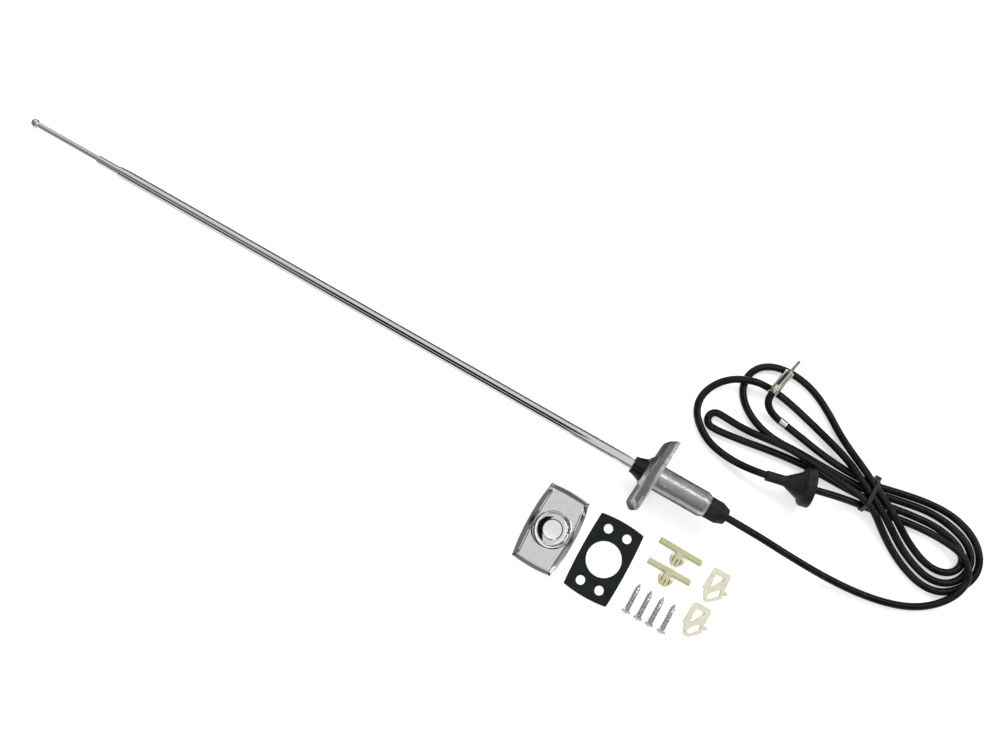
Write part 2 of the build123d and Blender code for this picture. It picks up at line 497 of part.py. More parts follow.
# Origin under the middle of everything but the cable and what rides on it
on_cable = ("cable", "cable_tie", "body_grommet", "cable_band", "plug_sleeve", "plug_insulator", "plug_pin")
boxes = [node.bounding_box() for name, node in nodes.items() if name not in on_cable]
middle_x = (min(box.min.X for box in boxes) + max(box.max.X for box in boxes)) / 2
middle_y = (min(box.min.Y for box in boxes) + max(box.max.Y for box in boxes)) / 2
print("moved by", round(-middle_x, 3), round(-middle_y, 3))
print("lie", round(math.degrees(LIE), 4), "axis", round(AXIS_Z, 3))
os.makedirs("parts", exist_ok=True)
for name, node in nodes.items():
    export_step(Pos(-middle_x, -middle_y, 0) * node, f"parts/{name}.step")
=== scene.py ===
import json
import math

import bmesh
import bpy
import numpy as np
from mathutils import Matrix, Vector


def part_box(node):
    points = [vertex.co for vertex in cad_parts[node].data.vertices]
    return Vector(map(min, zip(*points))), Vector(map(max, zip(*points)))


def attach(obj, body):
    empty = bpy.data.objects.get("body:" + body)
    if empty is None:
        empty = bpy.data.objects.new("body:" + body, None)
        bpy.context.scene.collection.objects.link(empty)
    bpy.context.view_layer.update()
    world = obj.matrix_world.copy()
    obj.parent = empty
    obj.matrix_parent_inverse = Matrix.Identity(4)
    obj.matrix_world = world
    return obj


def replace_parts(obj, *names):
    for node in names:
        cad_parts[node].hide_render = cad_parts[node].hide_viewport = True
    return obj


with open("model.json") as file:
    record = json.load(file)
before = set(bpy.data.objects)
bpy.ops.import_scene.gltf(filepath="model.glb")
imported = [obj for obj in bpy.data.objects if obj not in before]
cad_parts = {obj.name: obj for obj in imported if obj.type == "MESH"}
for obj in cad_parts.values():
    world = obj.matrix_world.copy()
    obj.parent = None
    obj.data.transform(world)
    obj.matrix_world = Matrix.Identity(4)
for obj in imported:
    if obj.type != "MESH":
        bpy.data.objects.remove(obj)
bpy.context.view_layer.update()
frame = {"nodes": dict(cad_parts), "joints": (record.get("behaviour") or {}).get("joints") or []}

# The chromed mast: a solid tip rod with a pressed-on ball slides in a middle tube, and that in an outer tube.
# The tubes are drawn brass with polished chrome plate, and each mouth is rolled in to hold the next section.
# Everything turned about the mast's axis is placed from the tip ball and the slide joints' direction.
MM = 0.001
BALL_R = 4.5 * MM
BALL_TO_FLANGE = 671.2 * MM
ROD_R = 2.75 * MM
ROD_END = -193.2 * MM
MIDDLE_R = 3.9 * MM
MIDDLE_MOUTH = -602.1 * MM
MIDDLE_FOOT = -122.1 * MM
MIDDLE_WALL = 0.5 * MM
OUTER_R = 5.2 * MM
OUTER_MOUTH = -578.9 * MM
OUTER_FOOT = 30.0 * MM
OUTER_WALL = 0.55 * MM
SLIDE_GAP = 0.06 * MM
MOUTH_STEP = 0.42 * MM
CHROME = (0.80, 0.81, 0.83, 1)
RUBBED_CHROME = (0.74, 0.75, 0.77, 1)
SHARP_ANGLE = math.radians(32)


class Wire:
    """A socket in a shader tree: arithmetic on it adds Math nodes, and node() adds any other."""

    def __init__(self, tree, socket=None):
        self.tree = tree
        self.socket = socket

    def node(self, kind, settings, inputs, out=0):
        made = self.tree.nodes.new(kind)
        for name, value in settings.items():
            setattr(made, name, value)
        for name, value in inputs.items():
            if isinstance(value, Wire):
                self.tree.links.new(value.socket, made.inputs[name])
            else:
                made.inputs[name].default_value = value
        return Wire(self.tree, made.outputs[out])

    def maths(self, operation, first, second):
        return self.node("ShaderNodeMath", {"operation": operation}, {0: first, 1: second})

    def __add__(self, other):
        return self.maths("ADD", self, other)

    def __radd__(self, other):
        return self.maths("ADD", other, self)

    def __sub__(self, other):
        return self.maths("SUBTRACT", self, other)

    def __rsub__(self, other):
        return self.maths("SUBTRACT", other, self)

    def __mul__(self, other):
        return self.maths("MULTIPLY", self, other)

    def __rmul__(self, other):
        return self.maths("MULTIPLY", other, self)


def new_finish(name, metal=0.0):
    """A material with one Principled shader, and a wire to start its maps from."""
    finish = bpy.data.materials.new(name)
    finish.use_nodes = True
    tree = finish.node_tree
    shader = tree.nodes["Principled BSDF"]
    shader.inputs["Metallic"].default_value = metal
    return finish, shader, Wire(tree)


def grain(wire, size, stretch=(1, 1, 1), detail=3.0, roughness=0.5):
    """Noise from 0 to 1 over the piece, with features of a given size in metres, stretched by axis."""
    place = wire.node("ShaderNodeTexCoord", {}, {}, "Object")
    scale = tuple(1 / (size * s) for s in stretch)
    scaled = wire.node("ShaderNodeMapping", {}, {"Vector": place, "Scale": scale})
    return wire.node("ShaderNodeTexNoise", {}, {
        "Vector": scaled, "Scale": 1.0, "Detail": detail, "Roughness": roughness})


def span(wire, value, low, high, to_low=0.0, to_high=1.0):
    """A value's range stretched on to another, held at its ends."""
    return wire.node("ShaderNodeMapRange", {}, {
        "Value": value, "From Min": low, "From Max": high, "To Min": to_low, "To Max": to_high})


def two_tone(wire, mask, first, second):
    """A colour that goes from the first to the second with the mask."""
    return wire.node("ShaderNodeMix", {"data_type": "RGBA"}, {0: mask, 6: first, 7: second}, 2)


def bump(wire, height, depth, strength=1.0):
    """A normal from a height map, depth in metres."""
    return wire.node("ShaderNodeBump", {}, {"Height": height, "Distance": depth, "Strength": strength})


def feed(wire, socket, value):
    """Links a wire into a shader's socket."""
    wire.tree.links.new(value.socket, socket)


def chrome_finish(name, smear):
    """Polished chrome with faint handling marks, smeared along the given stretch."""
    finish, shader, wire = new_finish(name, metal=1.0)
    marks = grain(wire, 6 * MM, smear, detail=4.0)
    dull = span(wire, marks, 0.45, 0.75)
    feed(wire, shader.inputs["Roughness"], 0.035 + 0.06 * dull)
    feed(wire, shader.inputs["Base Color"], two_tone(wire, dull, CHROME, RUBBED_CHROME))
    return finish


def arced(points, steps=5):
    """An outline's points, each corner that gives a radius as its third number turned into an arc."""
    out = []
    count = len(points)
    for i, point in enumerate(points):
        here = Vector(point[:2])
        if len(point) == 2:
            out.append(tuple(here))
            continue
        to_last = (Vector(points[i - 1][:2]) - here).normalized()
        to_next = (Vector(points[(i + 1) % count][:2]) - here).normalized()
        half = to_last.angle(to_next) / 2
        reach = point[2] / math.tan(half)
        centre = here + (to_last + to_next).normalized() * (point[2] / math.sin(half))
        first, last = here + to_last * reach - centre, here + to_next * reach - centre
        swing = first.angle_signed(last)
        for step in range(steps + 1):
            turn = -swing * step / steps
            out.append((centre.x + first.x * math.cos(turn) - first.y * math.sin(turn),
                        centre.y + first.x * math.sin(turn) + first.y * math.cos(turn)))
    return out


def smooth_but_edges(mesh):
    """Shades a mesh smooth but for its real edges."""
    mesh.shade_smooth()
    mesh.set_sharp_from_angle(angle=SHARP_ANGLE)


def add_piece(name, mesh, finish):
    """A new object for a finished mesh, with its one material."""
    piece = bpy.data.objects.new(name, mesh)
    bpy.context.scene.collection.objects.link(piece)
    mesh.materials.clear()
    mesh.materials.append(finish)
    smooth_but_edges(mesh)
    return piece


def turned(name, outline, place, steps=64):
    """A closed mesh turned about the Z axis of a placement from (radius, along) points."""
    shape = bmesh.new()
    rings = []
    turns = [2 * math.pi * i / steps for i in range(steps)]
    for radius, along in outline:
        if radius < 1e-7:
            rings.append([shape.verts.new((0, 0, along))] * steps)
        else:
            spots = [(radius * math.cos(t), radius * math.sin(t), along) for t in turns]
            rings.append([shape.verts.new(spot) for spot in spots])
    for first, second in zip(rings, rings[1:] + rings[:1]):
        for i in range(steps):
            j = (i + 1) % steps
            corners = list(dict.fromkeys((first[i], first[j], second[j], second[i])))
            if len(corners) > 2:
                shape.faces.new(corners)
    bmesh.ops.recalc_face_normals(shape, faces=shape.faces)
    shape.transform(place)
    mesh = bpy.data.meshes.new(name)
    shape.to_mesh(mesh)
    shape.free()
    return mesh


def placement(origin, z_way, y_way):
    """The matrix of a frame with its origin and Z given, and Y as near the given way as it can be."""
    z = z_way.normalized()
    x = y_way.cross(z).normalized()
    y = z.cross(x)
    rows = Matrix((x, y, z)).transposed().to_4x4()
    rows.translation = origin
    return rows


ball_low, ball_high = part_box("tip_ball")
mast_way = -Vector(frame["joints"][0]["axis"]).normalized()
ball_at = Vector((ball_low.x + BALL_R, (ball_low.y + ball_high.y) / 2, (ball_low.z + ball_high.z) / 2))
flange_at = ball_at + mast_way * BALL_TO_FLANGE
on_mast = placement(flange_at, mast_way, Vector((0, 1, 0)))
mast_chrome = chrome_finish("mast_chrome", (20, 0.5, 0.5))

ball_z = -BALL_TO_FLANGE
ball_swing = np.linspace(0, math.pi - math.asin(ROD_R / BALL_R), 25)
ball_arc = [(BALL_R * math.sin(a), ball_z - BALL_R * math.cos(a)) for a in ball_swing]
ball_mesh = turned("tip_ball_chrome", ball_arc + [(ROD_R, ball_z), (0, ball_z)], on_mast)
ball = add_piece("tip_ball_chrome", ball_mesh, mast_chrome)
rod_mesh = turned("tip_rod_chrome", [(0, ball_z), (ROD_R, ball_z), (ROD_R, ROD_END), (0, ROD_END)], on_mast)
rod = add_piece("tip_rod_chrome", rod_mesh, mast_chrome)
for piece, node in ((ball, "tip_ball"), (rod, "tip_rod")):
    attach(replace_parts(piece, node), "tip_section")

middle = add_piece("middle_tube_chrome", turned("middle_tube_chrome", arced([
    (ROD_R + SLIDE_GAP, MIDDLE_MOUTH), (MIDDLE_R, MIDDLE_MOUTH, 0.4 * MM), (MIDDLE_R, MIDDLE_FOOT),
    (MIDDLE_R - MIDDLE_WALL, MIDDLE_FOOT), (MIDDLE_R - MIDDLE_WALL, MIDDLE_MOUTH + 6 * MM),
    (ROD_R + SLIDE_GAP, MIDDLE_MOUTH + 5 * MM)], 8), on_mast), mast_chrome)
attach(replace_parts(middle, "mast_middle_tube"), "middle_section")

outer = add_piece("outer_tube_chrome", turned("outer_tube_chrome", arced([
    (MIDDLE_R + SLIDE_GAP, OUTER_MOUTH), (OUTER_R - MOUTH_STEP, OUTER_MOUTH, 0.4 * MM),
    (OUTER_R - MOUTH_STEP, OUTER_MOUTH + 2.5 * MM, 4 * MM), (OUTER_R, OUTER_MOUTH + 9 * MM, 20 * MM),
    (OUTER_R, OUTER_FOOT), (OUTER_R - OUTER_WALL, OUTER_FOOT), (OUTER_R - OUTER_WALL, OUTER_MOUTH + 8 * MM),
    (MIDDLE_R + SLIDE_GAP, OUTER_MOUTH + 7 * MM)], 6), on_mast), mast_chrome)
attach(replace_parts(outer, "mast_outer_tube"), "base")

# Inside the mast and the shank: brass contact sleeves on the sliding sections, the brass foot that closes the
# outer tube, the copper core soldered to it, the earth ring round the cable's screen, and a plastic bush.
# None of them shows from outside, so the solids stay and take plain turned finishes.


def turned_metal_finish(name, colour, dark):
    """Bare metal with fine lathe lines across it."""
    finish, shader, wire = new_finish(name, metal=1.0)
    lines = grain(wire, 0.6 * MM, (1, 30, 30), detail=2.0)
    feed(wire, shader.inputs["Base Color"], two_tone(wire, lines, colour, dark))
    feed(wire, shader.inputs["Roughness"], span(wire, lines, 0.3, 0.7, 0.25, 0.4))
    return finish


def moulded_finish(name, colour, shade, rough=0.45, pebble=0.5 * MM, depth=0.02 * MM):
    """Moulded plastic: a faintly uneven colour and a fine pebbled skin."""
    finish, shader, wire = new_finish(name)
    cloud = grain(wire, 9 * MM, detail=2.0)
    skin = grain(wire, pebble, detail=2.0)
    feed(wire, shader.inputs["Base Color"], two_tone(wire, span(wire, cloud, 0.35, 0.65), colour, shade))
    feed(wire, shader.inputs["Roughness"], span(wire, skin, 0.3, 0.7, rough - 0.05, rough + 0.07))
    feed(wire, shader.inputs["Normal"], bump(wire, skin, depth))
    return finish


inner_finishes = {
    turned_metal_finish("turned_brass", (0.78, 0.58, 0.27, 1), (0.62, 0.44, 0.18, 1)):
        ("mast_foot", "earth_ferrule", "middle_contact_sleeve", "rod_contact_sleeve"),
    turned_metal_finish("bare_copper", (0.78, 0.42, 0.27, 1), (0.62, 0.3, 0.18, 1)): ("cable_core",),
    moulded_finish("natural_bush", (0.74, 0.71, 0.62, 1), (0.66, 0.63, 0.54, 1)): ("lower_insulator",),
}
for finish, names in inner_finishes.items():
    for name in names:
        slots = frame["nodes"][name].data.materials
        slots.clear()
        slots.append(finish)

# The base casting: flange, boss and hollow shank in one zinc die casting, left as cast. The flange's front
# is a block with sloping sides. The skin is mottled and dull, with drag streaks along the shank and two pale
# spots beside the flange.
SHANK_R = 12.5 * MM
SHANK_END = 54.4 * MM
PALE_SPOTS = ((10.0 * MM, -5.0 * MM), (9.0 * MM, 9.0 * MM))
CASTING_EDGE = 0.45 * MM
SAME_PLACE = 0.002 * MM
SAME_PLANE = math.radians(0.4)
BEVEL_ANGLE = math.radians(35)
FLANGE_RAKE = math.radians(4.5)
BLOCK_RINGS = ((21.6, 36.6, -2.0), (21.6, 36.6, -3.4), (18.6, 33.6, -8.2), (18.0, 33.0, -8.6))
BLOCK_CORNER = 5


def cad_copy(node, finish, name, edge=0.0):
    """A merged copy of a node's mesh, its sharp edges rounded by a small bevel when an edge width is given.
    """
    shape = bmesh.new()
    shape.from_mesh(frame["nodes"][node].data)
    bmesh.ops.remove_doubles(shape, verts=shape.verts, dist=SAME_PLACE)
    bmesh.ops.dissolve_limit(shape, angle_limit=SAME_PLANE, verts=shape.verts, edges=shape.edges)
    mesh = bpy.data.meshes.new(name)
    shape.to_mesh(mesh)
    shape.free()
    piece = add_piece(name, mesh, finish)
    if edge:
        rounding = piece.modifiers.new("edge", "BEVEL")
        rounding.width = edge
        rounding.segments = 3
        rounding.limit_method = "ANGLE"
        rounding.angle_limit = BEVEL_ANGLE
        rounding.harden_normals = True
        settled = bpy.data.meshes.new_from_object(piece.evaluated_get(bpy.context.evaluated_depsgraph_get()))
        piece.modifiers.clear()
        piece.data = settled
    return piece


zinc, shader, wire = new_finish("cast_zinc", metal=1.0)
blotch = grain(wire, 5 * MM, (1.6, 1, 1), detail=6.0, roughness=0.65)
streak = grain(wire, 1.6 * MM, (9, 1, 1), detail=4.0)
speck = grain(wire, 0.55 * MM, detail=3.0)
tone = span(wire, 0.55 * blotch + 0.3 * streak + 0.15 * speck, 0.36, 0.64)
skin = two_tone(wire, tone, (0.42, 0.435, 0.44, 1), (0.76, 0.775, 0.78, 1))
place = wire.node("ShaderNodeTexCoord", {}, {}, "Object")
# Two pale spots on the shank beside the flange, their edges broken by the speck noise.
for along, aside in PALE_SPOTS:
    spot = tuple(on_mast @ Vector((-math.sqrt(SHANK_R ** 2 - aside ** 2), aside, along)))
    away = wire.node("ShaderNodeVectorMath", {"operation": "DISTANCE"}, {0: place, 1: spot}, 1)
    pale_spot_mask = span(wire, away + 2.4 * MM * speck, 1.9 * MM, 3.1 * MM, 0.85, 0.0)
    skin = two_tone(wire, pale_spot_mask, skin, (0.86, 0.86, 0.84, 1))
feed(wire, shader.inputs["Base Color"], skin)
feed(wire, shader.inputs["Roughness"], 0.42 - 0.14 * tone)
feed(wire, shader.inputs["Normal"], bump(wire, 0.6 * blotch + 0.4 * speck, 0.09 * MM, 0.7))
casting = cad_copy("base_casting", zinc, "zinc_casting", CASTING_EDGE)
shape = bmesh.new()
shape.from_mesh(casting.data)
block_place = on_mast @ Matrix.Rotation(FLANGE_RAKE, 4, "X")
rings = []
for half_x, half_y, level in BLOCK_RINGS:
    corners = arced([(half_x * i, half_y * j, BLOCK_CORNER) for i, j in ((1, 1), (-1, 1), (-1, -1), (1, -1))])
    rings.append([shape.verts.new(block_place @ (Vector((x, y, level)) * MM)) for x, y in corners])
sides = [shape.faces.new((a, b, d, c)) for first, second in zip(rings, rings[1:])
         for a, b, c, d in zip(first, first[1:] + first[:1], second, second[1:] + second[:1])]
sides += [shape.faces.new(rings[0]), shape.faces.new(rings[-1])]
bmesh.ops.recalc_face_normals(shape, faces=sides)
shape.to_mesh(casting.data)
shape.free()
smooth_but_edges(casting.data)
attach(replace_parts(casting, "base_casting"), "base")

# The upper insulator: a glossy black moulded collar that keeps the mast off the casting. It has a rim at the
# mast's end and flares to a lip on the boss, and its spigot is pressed into the casting's neck.
COLLAR_TOP = -24.4 * MM
COLLAR_FOOT = -12.5 * MM
COLLAR_R = 8.4 * MM
LIP_R = 11.3 * MM
SPIGOT_R = 8.0 * MM
SPIGOT_END = 8.0 * MM
collar_outline = arced([
    (OUTER_R, COLLAR_TOP + 1 * MM), (OUTER_R + 0.6 * MM, COLLAR_TOP, 0.4 * MM),
    (COLLAR_R, COLLAR_TOP, 0.7 * MM), (COLLAR_R, COLLAR_TOP + 2.4 * MM, 1.5 * MM),
    (COLLAR_R + 1.9 * MM, COLLAR_FOOT - 3.2 * MM, 6 * MM),
    (LIP_R, COLLAR_FOOT - 1.3 * MM, 0.5 * MM), (LIP_R, COLLAR_FOOT, 0.4 * MM),
    (SPIGOT_R, COLLAR_FOOT), (SPIGOT_R, SPIGOT_END), (OUTER_R, SPIGOT_END)])
gloss, shader, wire = new_finish("glossy_black")
wave = grain(wire, 4 * MM, detail=2.0)
dust = grain(wire, 0.7 * MM, detail=2.0)
black = two_tone(wire, wave, (0.005, 0.005, 0.006, 1), (0.010, 0.010, 0.011, 1))
feed(wire, shader.inputs["Base Color"], black)
feed(wire, shader.inputs["Roughness"], span(wire, dust, 0.4, 0.75, 0.1, 0.2))
feed(wire, shader.inputs["Normal"], bump(wire, wave, 0.05 * MM))
shader.inputs["Specular IOR Level"].default_value = 0.3
collar = add_piece("insulating_collar", turned("insulating_collar", collar_outline, on_mast), gloss)
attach(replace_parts(collar, "upper_insulator"), "base")

# The cable boot: soft black rubber moulded round the cable, its spigot pushed into the shank's mouth. Its
# outside is straight, then tapers to a thick lip round the cable.
BOOT_START = 49.5 * MM
BOOT_SPIGOT_R = 9 * MM
BOOT_LIP = 1.5 * MM
BOOT_R = 10.6 * MM
BOOT_BEND = 66.8 * MM
BOOT_END = 74.9 * MM
BOOT_END_R = 7.6 * MM
CABLE_R = 3.6 * MM


def rubber_finish(name, colour, worn, rough):
    """Black rubber with a bloom of paler dust and a fine, slightly wavy skin."""
    finish, shader, wire = new_finish(name)
    bloom = span(wire, grain(wire, 7 * MM, detail=5.0, roughness=0.6), 0.4, 0.72)
    skin = grain(wire, 0.45 * MM, detail=3.0)
    feed(wire, shader.inputs["Base Color"], two_tone(wire, bloom, colour, worn))
    feed(wire, shader.inputs["Roughness"], rough + 0.12 * bloom)
    feed(wire, shader.inputs["Normal"], bump(wire, skin, 0.03 * MM))
    shader.inputs["Specular IOR Level"].default_value = 0.22
    return finish


rubber = rubber_finish("boot_rubber", (0.009, 0.010, 0.012, 1), (0.018, 0.020, 0.023, 1), 0.42)
boot = add_piece("rubber_boot", turned("rubber_boot", arced([
    (CABLE_R, BOOT_START), (BOOT_SPIGOT_R, BOOT_START), (BOOT_SPIGOT_R, SHANK_END),
    (BOOT_R, SHANK_END, 0.3 * MM), (BOOT_R, BOOT_BEND, 2.5 * MM), (BOOT_END_R, BOOT_END, 1.1 * MM),
    (CABLE_R + 0.5 * MM, BOOT_END, 0.4 * MM), (CABLE_R, BOOT_END - BOOT_LIP)]), on_mast), rubber)
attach(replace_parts(boot, "cable_boot"), "base")

# The cable: one coaxial lead with a satin black sheath, from the boot to the plug. It is doubled up in long
# loops that a tie holds at the waist, and the loops spread beyond it. Plan places are in millimetres from the
# datum, the floor under the middle of the flange's rear face.
LAY = 3.7
TIE_X = 189.0
INSIDE_BOOT = 44 * MM
PAST_BOOT = 100 * MM
gasket_low, gasket_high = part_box("gasket")
GASKET_X, GASKET_Y = -2.0 * MM, -89.2 * MM
gasket_at = (gasket_low + gasket_high) / 2
datum = Vector((gasket_at.x - GASKET_X, gasket_at.y - GASKET_Y, 0))
inside_boot = (on_mast @ Vector((0, 0, INSIDE_BOOT)) - datum) / MM
past_boot = (on_mast @ Vector((0, 0, PAST_BOOT)) - datum) / MM
route = [
    tuple(inside_boot), tuple(past_boot), (156, -1.5, 16.4), (200, 0, 6.6), (236, 4.2, LAY), (264, 11.5, LAY),
    (284, 21.5, LAY), (298, 34.5, 6.6), (306, 49, 11.2), (308.5, 64, 11.4), (303, 76.5, 11.4),
    (291, 84, 11.2), (275, 87, 6.6), (255, 87.3, LAY), (234, 85, LAY), (211, 80.8, 4), (TIE_X, 77.2, 5.6),
    (165, 72.4, 12), (138, 64.9, 18.9), (92, 54.5, 15.2), (67, 52, 8), (45, 53.6, 4.2), (27, 58.7, LAY),
    (10.5, 71.5, LAY), (4.2, 85.5, LAY), (6, 100, LAY), (14, 113.5, 6.6), (26, 123, 11.4),
    (43, 129.3, 11.4), (55, 131, 7.6), (67, 131.2, 5), (86, 128.5, LAY), (112, 122, LAY), (137, 114.6, 5.6),
    (157, 106.8, 10.8), (173, 98, 12.7), (TIE_X, 90, 13.2),
    (204, 82, 12.8), (222, 71.5, 9), (241, 60.5, LAY), (260, 52, LAY), (278, 48, LAY), (293.5, 51.5, LAY),
    (304, 61, LAY), (308, 73, LAY), (306, 86.4, LAY), (295, 97, LAY), (275, 103.4, LAY), (250, 105.2, LAY),
    (219, 99.6, 4.2), (TIE_X, 92.2, 5.6),
    (168, 91.8, 4.1), (149, 91.5, LAY), (130, 91.4, LAY), (111, 91.8, LAY), (93, 90.6, LAY),
    (77, 91.8, LAY), (62, 96, LAY), (49, 103, LAY), (39.5, 112, LAY), (34.5, 123, LAY), (35, 135, LAY),
    (41, 145.5, LAY), (52, 152.5, LAY), (66, 155.5, LAY), (82, 155, LAY), (100, 150.5, LAY),
    (120, 140, LAY), (138, 127.5, 4.4), (155, 117, 8), (172, 107.8, 12), (TIE_X, 98.2, 13.2),
    (205, 90.4, 12.6), (221, 81.5, 11.8), (236, 73.5, 6), (251, 66, LAY), (266, 60, LAY), (281, 58.5, LAY),
    (293.5, 63, LAY), (300.5, 73.5, LAY), (296.6, 84.4, LAY), (284, 92.2, LAY), (261, 95.8, LAY),
    (235, 93.4, LAY), (211, 89.2, 4.2), (TIE_X, 84.7, 5.6),
    (166, 84.1, 4.1), (146, 84, LAY), (126, 83.6, LAY), (106, 81.7, LAY), (84, 78.6, LAY), (64, 75, LAY),
    (48, 72.6, LAY), (37, 71.2, LAY), (30.4, 70.8, LAY), (24.2, 71.1, LAY), (20, 75.3, LAY), (20, 81.3, LAY),
    (24.2, 85.5, LAY), (30.4, 85.8, LAY), (38, 85.5, LAY), (49, 84.9, 4.1), (65, 85, 6.5), (83, 87, 10.8),
    (101, 88.8, 11.7), (124, 87.9, 11.4), (149, 86.6, 11.5), (171, 84.6, 12.4), (TIE_X, 81.4, 13.2),
    (201, 75.5, 12.4), (217, 64.5, 7.2), (235, 53.5, LAY), (254, 44.3, LAY), (274, 39, LAY),
    (292, 41.5, LAY), (304.5, 50.5, LAY), (313, 62, LAY), (316.8, 75, LAY), (314.2, 88.5, LAY),
    (304.5, 100.5, LAY), (289, 109, LAY), (268, 113.4, LAY), (243, 112, LAY), (216, 106.5, 4.2),
    (TIE_X, 99.7, 5.6),
    (168, 99.2, 4.1), (148, 99.8, LAY), (128, 102, LAY), (109, 105.2, LAY), (92, 107.8, LAY),
    (78, 109.5, 4.6), (67.5, 112.3, 8.6), (61, 117.6, 12.6), (60.1, 125.5, 14.7), (61.6, 131.7, 14.2),
]
line = bpy.data.curves.new("cable_line", "CURVE")
line.dimensions = "3D"
line.bevel_depth = CABLE_R
line.bevel_resolution = 5
line.resolution_u = 10
line.use_fill_caps = True
spline = line.splines.new("NURBS")
spline.points.add(len(route) - 1)
for point, place in zip(spline.points, route):
    point.co = (*(datum + Vector(place) * MM), 1)
spline.order_u = 3
spline.use_endpoint_u = True
sheath, shader, wire = new_finish("cable_sheath")
rub = span(wire, grain(wire, 14 * MM, detail=5.0, roughness=0.6), 0.42, 0.7)
skin = grain(wire, 0.5 * MM, detail=2.0)
black = two_tone(wire, rub, (0.004, 0.004, 0.005, 1), (0.010, 0.011, 0.012, 1))
feed(wire, shader.inputs["Base Color"], black)
feed(wire, shader.inputs["Roughness"], 0.2 + 0.14 * rub)
feed(wire, shader.inputs["Normal"], bump(wire, skin, 0.015 * MM))
shader.inputs["Specular IOR Level"].default_value = 0.24
line.materials.append(sheath)
cable = bpy.data.objects.new("coiled_cable", line)
bpy.context.scene.collection.objects.link(cable)
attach(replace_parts(cable, "cable"), "base")

# The grommet: black rubber, slid along the cable to seal its hole in the bodywork. A thick disc with a
# rounded back stands on the floor, and a cone runs down from it to a sleeve round the cable.
GROMMET_POINTS = (18, 19)
DISC_PAST_POINT = 3 * MM
DISC_R = 18.5 * MM
DISC_THICK = 10.0 * MM
CONE_R = 14.0 * MM
CONE_END = 26.5 * MM
SLEEVE_R = 5.1 * MM
GROMMET_LENGTH = 44.5 * MM
disc_point, sleeve_point = (datum + Vector(route[i]) * MM for i in GROMMET_POINTS)
grommet_way = (sleeve_point - disc_point).normalized()
on_grommet = placement(disc_point + grommet_way * DISC_PAST_POINT, grommet_way, Vector((0, 1, 0)))
grommet = add_piece("rubber_grommet", turned("rubber_grommet", arced([
    (CABLE_R + 0.4 * MM, 1.2 * MM), (CABLE_R + 1.2 * MM, 0, 0.5 * MM), (DISC_R, 0, 1.2 * MM),
    (DISC_R, DISC_THICK, 3.4 * MM), (CONE_R, DISC_THICK + 0.4 * MM, 1 * MM), (SLEEVE_R, CONE_END, 7 * MM),
    (SLEEVE_R, GROMMET_LENGTH, 0.6 * MM), (CABLE_R + 0.3 * MM, GROMMET_LENGTH)], 7), on_grommet),
    rubber_finish("grommet_rubber", (0.010, 0.012, 0.014, 1), (0.018, 0.021, 0.024, 1), 0.4))
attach(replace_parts(grommet, "body_grommet"), "base")

# The plug: a nickel-plated sleeve, rolled with an open seam to spring in its socket, soldered to the cable's
# screen through a hole. A brown fibre insulator holds a round pin, and a bright band is crimped on the cable
# before it.
SLEEVE_BACK = 6 * MM
SOLDER_AT = 5.8 * MM
SLEEVE_TOP = 4.65 * MM
BEAD_R = 2.5 * MM
nickel, shader, wire = new_finish("nickel_plate", metal=1.0)
tarnish = span(wire, grain(wire, 3.5 * MM, detail=5.0, roughness=0.6), 0.4, 0.7)
warm = two_tone(wire, tarnish, (0.86, 0.83, 0.76, 1), (0.66, 0.6, 0.5, 1))
feed(wire, shader.inputs["Base Color"], warm)
feed(wire, shader.inputs["Roughness"], 0.2 + 0.14 * tarnish)
dull_nickel, shader, wire = new_finish("dull_nickel", metal=1.0)
wear = span(wire, grain(wire, 2.0 * MM, detail=4.0), 0.35, 0.65)
feed(wire, shader.inputs["Base Color"], two_tone(wire, wear, (0.42, 0.41, 0.39, 1), (0.3, 0.28, 0.25, 1)))
feed(wire, shader.inputs["Roughness"], 0.22 + 0.14 * wear)
fibre = moulded_finish("brown_fibre", (0.03, 0.017, 0.014, 1), (0.016, 0.01, 0.008, 1))
tin, shader, wire = new_finish("tinned_band", metal=1.0)
crimp = grain(wire, 1.2 * MM, detail=3.0)
feed(wire, shader.inputs["Base Color"], two_tone(wire, crimp, (0.9, 0.9, 0.86, 1), (0.72, 0.71, 0.67, 1)))
feed(wire, shader.inputs["Roughness"], span(wire, crimp, 0.3, 0.7, 0.24, 0.4))
feed(wire, shader.inputs["Normal"], bump(wire, crimp, 0.08 * MM))
for node, finish, name, slot in (
        ("plug_sleeve", nickel, "rolled_sleeve", "nickel"), ("plug_pin", dull_nickel, "round_pin", "nickel"),
        ("plug_insulator", fibre, "pin_insulator", "plug_plastic"),
        ("cable_band", tin, "crimped_band", "tinned_band")):
    piece = cad_copy(node, finish, name)
    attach(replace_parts(piece, node), "base")
plug_end, plug_before = (datum + Vector(route[i]) * MM for i in (-1, -2))
plug_way = (plug_end - plug_before).normalized()
plug_up = (Vector((0, 0, 1)) - plug_way * plug_way.z).normalized()
bead_at = plug_end + plug_way * (SOLDER_AT - SLEEVE_BACK) + plug_up * SLEEVE_TOP
bead = add_piece("solder_bead", turned("solder_bead", arced([
    (0, -1.2 * MM), (BEAD_R - 0.2 * MM, -1.2 * MM), (BEAD_R, -0.15 * MM),
    (BEAD_R - 0.2 * MM, 0.4 * MM, 0.35 * MM), (BEAD_R - 1.1 * MM, 0.35 * MM, 0.4 * MM),
    (0.5 * MM, -0.15 * MM), (0, -0.2 * MM)], 4),
    placement(bead_at, plug_up, plug_way), 40), tin)
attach(bead, "base")

# The tie: a narrow strip of black plastic pulled tight round the waist of the coil, with a small square head.
TIE_EDGE = 0.15 * MM
tie_finish = moulded_finish("tie_plastic", (0.008, 0.008, 0.009, 1), (0.014, 0.014, 0.016, 1), 0.38)
tie = cad_copy("cable_tie", tie_finish, "strip_tie", TIE_EDGE)
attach(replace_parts(tie, "cable_tie"), "base")

